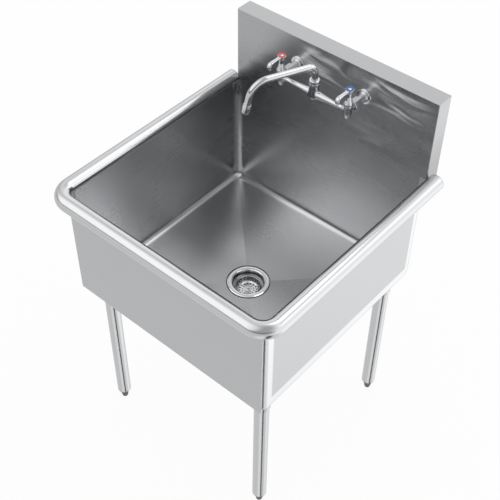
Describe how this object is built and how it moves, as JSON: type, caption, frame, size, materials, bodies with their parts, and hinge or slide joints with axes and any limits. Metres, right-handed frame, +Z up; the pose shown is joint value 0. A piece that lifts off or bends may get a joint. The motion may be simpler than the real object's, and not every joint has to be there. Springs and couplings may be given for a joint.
{
  "type": "utility laundry sink",
  "caption": "Freestanding stainless utility sink with a deep bowl, rolled rim, splashback, tubular legs on levelling feet, basket strainer and a two-lever wall faucet with a swing spout.",
  "frame": {"origin": "on the floor, under the middle of the sink's outer box", "axes": "+Z up, front towards -Y, splashback towards +Y, hot valve on -X"},
  "size_m": [0.697, 0.703, 1.0513],
  "materials": {
    "brushed_steel": "satin, fine straight grain",
    "chrome": "polished",
    "zinc_plate": "dull zinc plating",
    "black_rubber": "matte",
    "white_washer": "matte",
    "foot_grey": "dark satin",
    "index_red": "gloss",
    "index_blue": "gloss"
  },
  "bodies": {
    "sink": {"bowl_shell": "brushed_steel", "front_apron": "brushed_steel", "rim_front": "brushed_steel", "rim_left": "brushed_steel", "rim_right": "brushed_steel", "rim_cap_left": "brushed_steel", "rim_cap_right": "brushed_steel", "splashback": "brushed_steel", "strainer_body": "brushed_steel", "corner_bracket_front_left": "brushed_steel", "corner_bracket_front_right": "brushed_steel", "corner_bracket_back_left": "brushed_steel", "corner_bracket_back_right": "brushed_steel", "leg_front_left": "brushed_steel", "leg_front_right": "brushed_steel", "leg_back_left": "brushed_steel", "leg_back_right": "brushed_steel", "tailpiece": "chrome", "coupling_nut": "chrome", "faucet_body": "chrome", "spout_collar_nut": "chrome", "bonnet_hot": "chrome", "union_nut_hot": "chrome", "inlet_shank_hot": "chrome", "wall_flange_hot": "chrome", "bonnet_cold": "chrome", "union_nut_cold": "chrome", "inlet_shank_cold": "chrome", "wall_flange_cold": "chrome", "strainer_lock_nut": "zinc_plate", "back_nut_hot": "zinc_plate", "back_nut_cold": "zinc_plate", "set_screw_front_left": "zinc_plate", "set_screw_front_right": "zinc_plate", "set_screw_back_left": "zinc_plate", "set_screw_back_right": "zinc_plate", "foot_insert_front_left": "zinc_plate", "foot_insert_front_right": "zinc_plate", "foot_insert_back_left": "zinc_plate", "foot_insert_back_right": "zinc_plate", "strainer_gasket": "black_rubber", "slip_washer": "white_washer", "tailpiece_washer": "white_washer"},
    "spout_arm": {"spout": "chrome", "aerator": "chrome"},
    "hot_handle": {"lever_handle_hot": "chrome", "index_disc_hot": "index_red", "valve_stem_hot": "chrome"},
    "cold_handle": {"lever_handle_cold": "chrome", "index_disc_cold": "index_blue", "valve_stem_cold": "chrome"},
    "basket": {"strainer_basket": "brushed_steel", "basket_knob": "chrome", "basket_stopper": "black_rubber"},
    "front_left_foot": {"foot_front_left": "foot_grey"},
    "front_right_foot": {"foot_front_right": "foot_grey"},
    "back_left_foot": {"foot_back_left": "foot_grey"},
    "back_right_foot": {"foot_back_right": "foot_grey"}
  },
  "joints": [
    {"name": "spout_swivel", "type": "hinge", "parent": "sink", "child": "spout_arm", "pos_m": [0, 0.2345, 0.992], "axis": [0, 0, 1], "range_deg": [-56, 104]},
    {"name": "hot_lever_turn", "type": "hinge", "parent": "sink", "child": "hot_handle", "pos_m": [-0.103, 0.2345, 1.016], "axis": [0, 0, 1], "range_deg": [0, 90]},
    {"name": "cold_lever_turn", "type": "hinge", "parent": "sink", "child": "cold_handle", "pos_m": [0.103, 0.2345, 1.016], "axis": [0, 0, 1], "range_deg": [-90, 0]},
    {"name": "basket_lift", "type": "slide", "parent": "sink", "child": "basket", "axis": [0, 0, 1], "range_m": [0, 0.045]},
    {"name": "front_left_foot_thread", "type": "slide", "parent": "sink", "child": "front_left_foot", "axis": [0, 0, 1], "range_m": [-0.02, 0.0015]},
    {"name": "front_right_foot_thread", "type": "slide", "parent": "sink", "child": "front_right_foot", "axis": [0, 0, 1], "range_m": [-0.02, 0.0015]},
    {"name": "back_left_foot_thread", "type": "slide", "parent": "sink", "child": "back_left_foot", "axis": [0, 0, 1], "range_m": [-0.02, 0.0015]},
    {"name": "back_right_foot_thread", "type": "slide", "parent": "sink", "child": "back_right_foot", "axis": [0, 0, 1], "range_m": [-0.02, 0.0015]}
  ]
}
